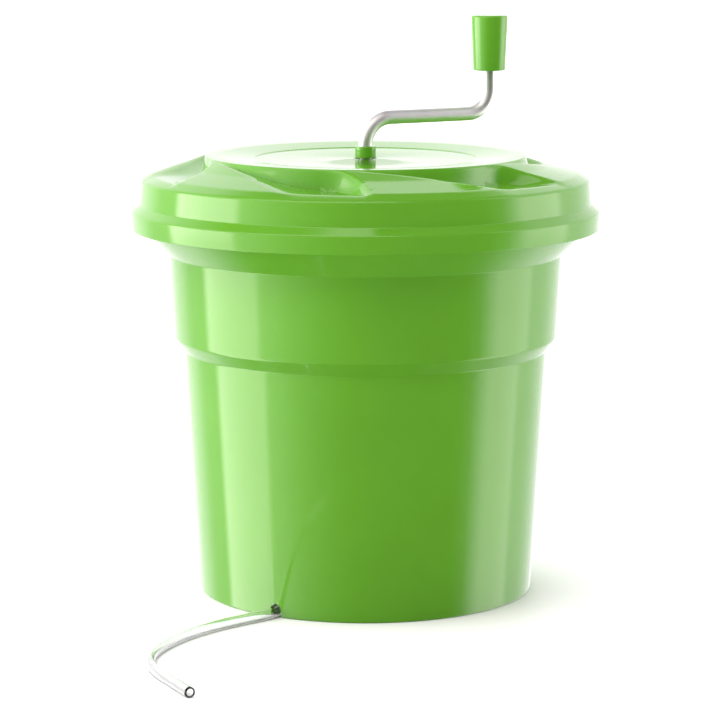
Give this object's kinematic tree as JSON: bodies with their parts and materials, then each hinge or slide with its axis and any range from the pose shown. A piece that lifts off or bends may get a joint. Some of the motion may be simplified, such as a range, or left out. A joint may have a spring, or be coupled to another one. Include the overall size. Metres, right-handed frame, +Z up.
{
  "type": "salad spinner",
  "caption": "Hand-cranked salad spinner: stepped tub with a clear drain hose, slotted basket on a pivot, and a lid whose crank drives the basket through planetary gears.",
  "frame": {"origin": "centre of the tub's base, on the surface it stands on", "axes": "+Z up along the spin axis, -Y towards the front, where the drain hose comes out on the left, +X to the right as seen from the front"},
  "size_m": [0.3304, 0.4739, 0.4054],
  "materials": {
    "green_plastic": "glossy moulded apple-green plastic",
    "basket_plastic": "satin moulded green plastic",
    "case_plastic": "satin off-white moulded plastic",
    "gear_plastic": "natural moulded gear plastic",
    "black_plastic": "black bearing plastic",
    "satin_rod": "satin drawn rod",
    "steel": "stainless steel",
    "rubber": "black rubber",
    "clear_hose": "clear flexible vinyl"
  },
  "bodies": {
    "tub": {"tub": "green_plastic", "pivot_pin": "steel", "drain_spigot": "black_plastic", "drain_seal": "rubber", "drain_nut": "black_plastic", "drain_hose": "clear_hose"},
    "pivot": {"thrust_washer": "black_plastic"},
    "basket": {"basket": "basket_plastic", "basket_bush": "black_plastic"},
    "lid": {"lid": "green_plastic", "lid_bush": "black_plastic", "gear_housing": "case_plastic", "ring_gear": "gear_plastic", "housing_screw_1": "steel", "housing_screw_2": "steel", "housing_screw_3": "steel", "housing_screw_4": "steel"},
    "crank": {"crank_rod": "satin_rod", "shaft_collar": "green_plastic", "planet_carrier": "gear_plastic", "cross_pin": "steel", "planet_pin_1": "steel", "planet_pin_2": "steel", "planet_pin_3": "steel", "planet_clip_1": "steel", "planet_clip_2": "steel", "planet_clip_3": "steel", "grip_clip": "steel"},
    "grip": {"grip": "green_plastic", "grip_cap": "green_plastic"},
    "planet_1": {"planet_gear_1": "gear_plastic"},
    "planet_2": {"planet_gear_2": "gear_plastic"},
    "planet_3": {"planet_gear_3": "gear_plastic"},
    "output": {"sun_gear": "gear_plastic", "output_shaft": "steel", "drive_dog": "gear_plastic", "dog_screw": "steel"}
  },
  "joints": [
    {"name": "basket_lift", "type": "slide", "parent": "tub", "child": "pivot", "axis": [0, 0, 1], "range_m": [0, 0.28]},
    {"name": "lid_lift", "type": "slide", "parent": "pivot", "child": "lid", "axis": [0, 0, 1], "range_m": [0, 0.16]},
    {"name": "basket_spin", "type": "hinge", "parent": "pivot", "child": "basket", "pos_m": [0, 0, 0.034], "axis": [0, 0, 1], "continuous": true},
    {"name": "crank_spin", "type": "hinge", "parent": "lid", "child": "crank", "pos_m": [0, 0, 0.3075], "axis": [0, 0, 1], "continuous": true},
    {"name": "grip_spin", "type": "hinge", "parent": "crank", "child": "grip", "pos_m": [0.0889, 0.05, 0.385], "axis": [0, 0, 1], "continuous": true},
    {"name": "planet_1_spin", "type": "hinge", "parent": "crank", "child": "planet_1", "pos_m": [0.03, 0, 0.274], "axis": [0, 0, 1], "continuous": true},
    {"name": "planet_2_spin", "type": "hinge", "parent": "crank", "child": "planet_2", "pos_m": [-0.015, 0.02598, 0.274], "axis": [0, 0, 1], "continuous": true},
    {"name": "planet_3_spin", "type": "hinge", "parent": "crank", "child": "planet_3", "pos_m": [-0.015, -0.02598, 0.274], "axis": [0, 0, 1], "continuous": true},
    {"name": "output_spin", "type": "hinge", "parent": "lid", "child": "output", "pos_m": [0, 0, 0.274], "axis": [0, 0, 1], "continuous": true}
  ],
  "couplings": [
    {"joint": "crank_spin", "follows": "basket_spin", "ratio": 0.25},
    {"joint": "output_spin", "follows": "basket_spin", "ratio": 1},
    {"joint": "planet_1_spin", "follows": "basket_spin", "ratio": -0.75},
    {"joint": "planet_2_spin", "follows": "basket_spin", "ratio": -0.75},
    {"joint": "planet_3_spin", "follows": "basket_spin", "ratio": -0.75}
  ]
}
